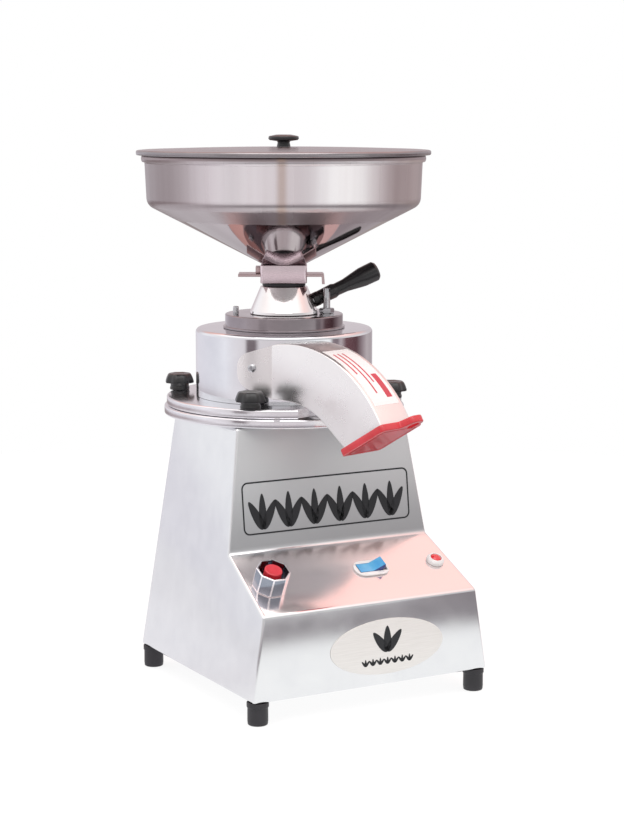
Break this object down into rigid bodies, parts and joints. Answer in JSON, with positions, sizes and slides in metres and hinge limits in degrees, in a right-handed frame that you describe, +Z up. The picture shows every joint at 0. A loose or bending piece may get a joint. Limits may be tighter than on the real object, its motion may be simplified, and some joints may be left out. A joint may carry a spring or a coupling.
{
  "type": "domestic flour mill",
  "caption": "Free-standing stone flour mill: tapered steel housing with sloping console, round grinding drum with a bent front spout and red cap, and a lidded funnel hopper.",
  "frame": {"origin": "middle of the whole mill's footprint, on the floor under the feet", "axes": "+Z up; -Y towards the user, the side with the console and the spout; +X to the user's right"},
  "size_m": [0.361, 0.4474, 0.6673],
  "materials": {
    "black_plastic": "moulded, semi-gloss",
    "black_rubber": "matt",
    "blue_plastic": "moulded, semi-gloss",
    "brushed_steel": "brushed stainless sheet",
    "cast_aluminium": "cast, machined faces",
    "copper_winding": "lacquered copper windings",
    "millstone": "rough dressed stone",
    "motor_paint": "matt dark paint",
    "plain_steel": "plain machined steel",
    "polished_steel": "polished stainless sheet",
    "red_lens": "clear red moulding",
    "red_plastic": "moulded, semi-gloss",
    "white_plastic": "moulded, semi-gloss"
  },
  "bodies": {
    "mill": {"capacitor_clip": "plain_steel", "chamber_plate": "polished_steel", "clamp_stud_back_left": "plain_steel", "clamp_stud_back_right": "plain_steel", "clamp_stud_front_left": "plain_steel", "clamp_stud_front_right": "plain_steel", "cord_gland": "black_plastic", "cover_bolt": "plain_steel", "cover_ring": "polished_steel", "deck_plate": "polished_steel", "end_bearing": "plain_steel", "fan_cowl": "motor_paint", "floor_plate": "plain_steel", "foot_back_left": "black_rubber", "foot_back_right": "black_rubber", "foot_front_left": "black_rubber", "foot_front_right": "black_rubber", "grinding_drum": "polished_steel", "housing_shell": "polished_steel", "lamp_bezel": "white_plastic", "lamp_lens": "red_lens", "motor_body": "motor_paint", "motor_end_shield": "cast_aluminium", "motor_top_shield": "cast_aluminium", "overload_guard": "polished_steel", "rocker_bezel": "white_plastic", "run_capacitor": "white_plastic", "spout_duct": "polished_steel", "spout_screw_far": "plain_steel", "spout_screw_near": "plain_steel", "stator_core": "copper_winding", "stop_nut": "plain_steel", "stop_stud": "plain_steel", "top_bearing": "plain_steel"},
    "spindle": {"motor_shaft": "plain_steel", "rotor": "plain_steel", "cooling_fan": "black_plastic", "runner_hub": "cast_aluminium", "runner_stone": "millstone", "hub_nut": "plain_steel"},
    "adjuster": {"adjuster_neck": "polished_steel", "lever_rod": "plain_steel", "lever_grip": "black_plastic"},
    "upper_stone_carrier": {"stone_carrier": "cast_aluminium", "upper_stone": "millstone"},
    "hopper_assembly": {"hopper": "brushed_steel", "gate_housing": "brushed_steel", "neck_gasket": "black_rubber"},
    "grain_gate": {"gate_slide": "plain_steel", "gate_stop_bar": "plain_steel"},
    "hopper_lid": {"lid": "brushed_steel", "lid_knob": "black_plastic"},
    "outlet_cap": {"outlet_cap": "red_plastic"},
    "overload_button": {"overload_button": "red_plastic"},
    "rocker_key": {"rocker_key": "blue_plastic"},
    "clamp_knob_front_left": {"clamp_knob_front_left": "black_plastic"},
    "clamp_knob_front_right": {"clamp_knob_front_right": "black_plastic"},
    "clamp_knob_back_right": {"clamp_knob_back_right": "black_plastic"},
    "clamp_knob_back_left": {"clamp_knob_back_left": "black_plastic"}
  },
  "joints": [
    {"name": "spindle_turn", "type": "hinge", "parent": "mill", "child": "spindle", "pos_m": [0, 0.04236, 0], "axis": [0, 0, 1], "continuous": true},
    {"name": "lever_swing", "type": "hinge", "parent": "mill", "child": "adjuster", "pos_m": [0, 0.04236, 0], "axis": [0, 0, 1], "range_deg": [0, 90]},
    {"name": "upper_stone_lift", "type": "slide", "parent": "mill", "child": "upper_stone_carrier", "axis": [0, 0, 1], "range_m": [0, 0.001]},
    {"name": "hopper_lift", "type": "slide", "parent": "mill", "child": "hopper_assembly", "axis": [0, 0, 1], "range_m": [0, 0.15]},
    {"name": "lid_lift", "type": "slide", "parent": "hopper_assembly", "child": "hopper_lid", "axis": [0, 0, 1], "range_m": [0, 0.1]},
    {"name": "gate_pull", "type": "slide", "parent": "hopper_assembly", "child": "grain_gate", "axis": [0.8746, -0.4848, 0], "range_m": [-0.0175, 0]},
    {"name": "cap_pull", "type": "slide", "parent": "mill", "child": "outlet_cap", "axis": [0.1465, -0.4792, -0.8654], "range_m": [0, 0.05]},
    {"name": "overload_press", "type": "slide", "parent": "mill", "child": "overload_button", "axis": [0, 0.4542, -0.8909], "range_m": [0, 0.003], "stiffness_N_per_m": 200, "springref_m": -0.003},
    {"name": "rocker_tilt", "type": "hinge", "parent": "mill", "child": "rocker_key", "pos_m": [0.0285, -0.12308, 0.1538], "axis": [0, 0.8909, 0.4542], "range_deg": [0, 30]},
    {"name": "clamp_knob_front_left_turn", "type": "hinge", "parent": "mill", "child": "clamp_knob_front_left", "pos_m": [-0.09758, -0.05522, 0.3476], "axis": [0, 0, 1], "continuous": true},
    {"name": "clamp_knob_front_right_turn", "type": "hinge", "parent": "mill", "child": "clamp_knob_front_right", "pos_m": [0.09758, -0.05522, 0.3476], "axis": [0, 0, 1], "continuous": true},
    {"name": "clamp_knob_back_right_turn", "type": "hinge", "parent": "mill", "child": "clamp_knob_back_right", "pos_m": [0.09758, 0.13994, 0.3476], "axis": [0, 0, 1], "continuous": true},
    {"name": "clamp_knob_back_left_turn", "type": "hinge", "parent": "mill", "child": "clamp_knob_back_left", "pos_m": [-0.09758, 0.13994, 0.3476], "axis": [0, 0, 1], "continuous": true}
  ],
  "couplings": [
    {"joint": "lever_swing", "follows": "upper_stone_lift", "rad_per_m": 1570.8}
  ]
}
